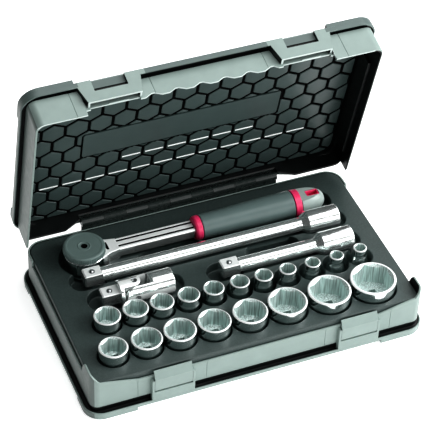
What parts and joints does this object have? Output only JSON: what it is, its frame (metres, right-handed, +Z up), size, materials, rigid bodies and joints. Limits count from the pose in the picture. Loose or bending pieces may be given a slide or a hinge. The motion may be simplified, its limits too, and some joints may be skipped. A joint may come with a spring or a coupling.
{
  "type": "socket wrench set in case",
  "caption": "Hinged plastic case with a fitted tray that holds a ratchet wrench, extension bars, a universal joint and two rows of hexagon sockets.",
  "frame": {"origin": "on the floor, under the middle of the case base", "axes": "+X along the case's length, to the right as seen from the latches; +Y towards the hinge; +Z up"},
  "size_m": [0.3294, 0.2142, 0.2439],
  "materials": {
    "shell": "satin moulded, fine texture",
    "tray": "fine grained, satin",
    "liner": "matt embossed",
    "black": "satin",
    "chrome": "polished and satin chrome",
    "steel": "brushed",
    "dial": "matt, knurled edge",
    "grip": "soft touch",
    "red": "satin red",
    "cap": "satin grey"
  },
  "bodies": {
    "base": {"base_shell": "shell", "tool_tray": "tray", "base_hinge_leaf": "black", "hinge_pin": "steel", "latch_left_pin": "steel", "latch_right_pin": "steel"},
    "lid": {"lid_shell": "shell", "lid_liner": "liner", "lid_label_panel": "liner", "lid_hinge_leaf": "black"},
    "latch_left": {"latch_left": "shell"},
    "latch_right": {"latch_right": "shell"},
    "socket_19": {"socket_19": "chrome"},
    "socket_21": {"socket_21": "chrome"},
    "socket_22": {"socket_22": "chrome"},
    "socket_23": {"socket_23": "chrome"},
    "socket_24": {"socket_24": "chrome"},
    "socket_27": {"socket_27": "chrome"},
    "socket_30": {"socket_30": "chrome"},
    "socket_32": {"socket_32": "chrome"},
    "socket_18": {"socket_18": "chrome"},
    "socket_17": {"socket_17": "chrome"},
    "socket_16": {"socket_16": "chrome"},
    "socket_15": {"socket_15": "chrome"},
    "socket_14": {"socket_14": "chrome"},
    "socket_13": {"socket_13": "chrome"},
    "socket_12": {"socket_12": "chrome"},
    "socket_11": {"socket_11": "chrome"},
    "socket_10": {"socket_10": "chrome"},
    "socket_9": {"socket_9": "chrome"},
    "socket_8": {"socket_8": "chrome"},
    "long_extension": {"long_extension": "chrome", "long_extension_ball": "steel"},
    "short_extension": {"short_extension": "chrome", "short_extension_ball": "steel"},
    "universal_joint": {"universal_joint_drive_yoke": "chrome", "universal_joint_ball": "steel"},
    "universal_joint_cross": {"universal_joint_cross": "steel"},
    "universal_joint_socket": {"universal_joint_socket_yoke": "chrome"},
    "ratchet": {"ratchet_body": "chrome", "ratchet_cover_plate": "steel", "ratchet_front_ring": "red", "ratchet_grip": "grip", "ratchet_rear_ring": "red", "ratchet_end_cap": "cap", "ratchet_hang_eyelet": "red"},
    "ratchet_drive": {"ratchet_drive": "steel", "ratchet_drive_ball": "steel"},
    "ratchet_dial": {"ratchet_reversing_dial": "dial"},
    "ratchet_pawl": {"ratchet_pawl": "steel"}
  },
  "joints": [
    {"name": "lid_hinge", "type": "hinge", "parent": "base", "child": "lid", "pos_m": [0, 0.097, 0.047], "axis": [-1, 0, 0], "range_deg": [-75.6, 34.4]},
    {"name": "latch_left_swing", "type": "hinge", "parent": "base", "child": "latch_left", "pos_m": [-0.08365, -0.0972, 0.0195], "axis": [1, 0, 0], "range_deg": [0, 60]},
    {"name": "latch_right_swing", "type": "hinge", "parent": "base", "child": "latch_right", "pos_m": [0.09365, -0.0972, 0.0195], "axis": [1, 0, 0], "range_deg": [0, 60]},
    {"name": "socket_19_lift", "type": "slide", "parent": "base", "child": "socket_19", "axis": [0, 0, 1], "range_m": [0, 0.06]},
    {"name": "socket_21_lift", "type": "slide", "parent": "base", "child": "socket_21", "axis": [0, 0, 1], "range_m": [0, 0.06]},
    {"name": "socket_22_lift", "type": "slide", "parent": "base", "child": "socket_22", "axis": [0, 0, 1], "range_m": [0, 0.06]},
    {"name": "socket_23_lift", "type": "slide", "parent": "base", "child": "socket_23", "axis": [0, 0, 1], "range_m": [0, 0.06]},
    {"name": "socket_24_lift", "type": "slide", "parent": "base", "child": "socket_24", "axis": [0, 0, 1], "range_m": [0, 0.06]},
    {"name": "socket_27_lift", "type": "slide", "parent": "base", "child": "socket_27", "axis": [0, 0, 1], "range_m": [0, 0.06]},
    {"name": "socket_30_lift", "type": "slide", "parent": "base", "child": "socket_30", "axis": [0, 0, 1], "range_m": [0, 0.06]},
    {"name": "socket_32_lift", "type": "slide", "parent": "base", "child": "socket_32", "axis": [0, 0, 1], "range_m": [0, 0.06]},
    {"name": "socket_18_lift", "type": "slide", "parent": "base", "child": "socket_18", "axis": [0, 0, 1], "range_m": [0, 0.06]},
    {"name": "socket_17_lift", "type": "slide", "parent": "base", "child": "socket_17", "axis": [0, 0, 1], "range_m": [0, 0.06]},
    {"name": "socket_16_lift", "type": "slide", "parent": "base", "child": "socket_16", "axis": [0, 0, 1], "range_m": [0, 0.06]},
    {"name": "socket_15_lift", "type": "slide", "parent": "base", "child": "socket_15", "axis": [0, 0, 1], "range_m": [0, 0.06]},
    {"name": "socket_14_lift", "type": "slide", "parent": "base", "child": "socket_14", "axis": [0, 0, 1], "range_m": [0, 0.06]},
    {"name": "socket_13_lift", "type": "slide", "parent": "base", "child": "socket_13", "axis": [0, 0, 1], "range_m": [0, 0.06]},
    {"name": "socket_12_lift", "type": "slide", "parent": "base", "child": "socket_12", "axis": [0, 0, 1], "range_m": [0, 0.06]},
    {"name": "socket_11_lift", "type": "slide", "parent": "base", "child": "socket_11", "axis": [0, 0, 1], "range_m": [0, 0.06]},
    {"name": "socket_10_lift", "type": "slide", "parent": "base", "child": "socket_10", "axis": [0, 0, 1], "range_m": [0, 0.06]},
    {"name": "socket_9_lift", "type": "slide", "parent": "base", "child": "socket_9", "axis": [0, 0, 1], "range_m": [0, 0.06]},
    {"name": "socket_8_lift", "type": "slide", "parent": "base", "child": "socket_8", "axis": [0, 0, 1], "range_m": [0, 0.06]},
    {"name": "long_extension_lift", "type": "slide", "parent": "base", "child": "long_extension", "axis": [0, 0, 1], "range_m": [0, 0.05]},
    {"name": "short_extension_lift", "type": "slide", "parent": "base", "child": "short_extension", "axis": [0, 0, 1], "range_m": [0, 0.05]},
    {"name": "universal_joint_lift", "type": "slide", "parent": "base", "child": "universal_joint", "axis": [0, 0, 1], "range_m": [0, 0.05]},
    {"name": "universal_joint_yaw", "type": "hinge", "parent": "universal_joint", "child": "universal_joint_cross", "pos_m": [-0.084, 0.0015, 0.043], "axis": [0, 0, 1], "range_deg": [-3, 3]},
    {"name": "universal_joint_pitch", "type": "hinge", "parent": "universal_joint_cross", "child": "universal_joint_socket", "pos_m": [-0.084, 0.0015, 0.043], "axis": [0, -1, 0], "range_deg": [0, 35]},
    {"name": "ratchet_lift", "type": "slide", "parent": "base", "child": "ratchet", "axis": [0, 0, 1], "range_m": [0, 0.05]},
    {"name": "ratchet_drive_spin", "type": "hinge", "parent": "ratchet", "child": "ratchet_drive", "pos_m": [-0.1112, 0.058, 0.043], "axis": [0, 0, 1], "continuous": true},
    {"name": "ratchet_dial_turn", "type": "hinge", "parent": "ratchet", "child": "ratchet_dial", "pos_m": [-0.1112, 0.058, 0.053], "axis": [0, 0, 1], "range_deg": [-20, 20]},
    {"name": "ratchet_pawl_rock", "type": "hinge", "parent": "ratchet", "child": "ratchet_pawl", "pos_m": [-0.0923, 0.058, 0.043], "axis": [0, 0, 1], "range_deg": [-12, 12]}
  ],
  "couplings": [
    {"joint": "ratchet_pawl_rock", "follows": "ratchet_dial_turn", "ratio": 0.4}
  ]
}
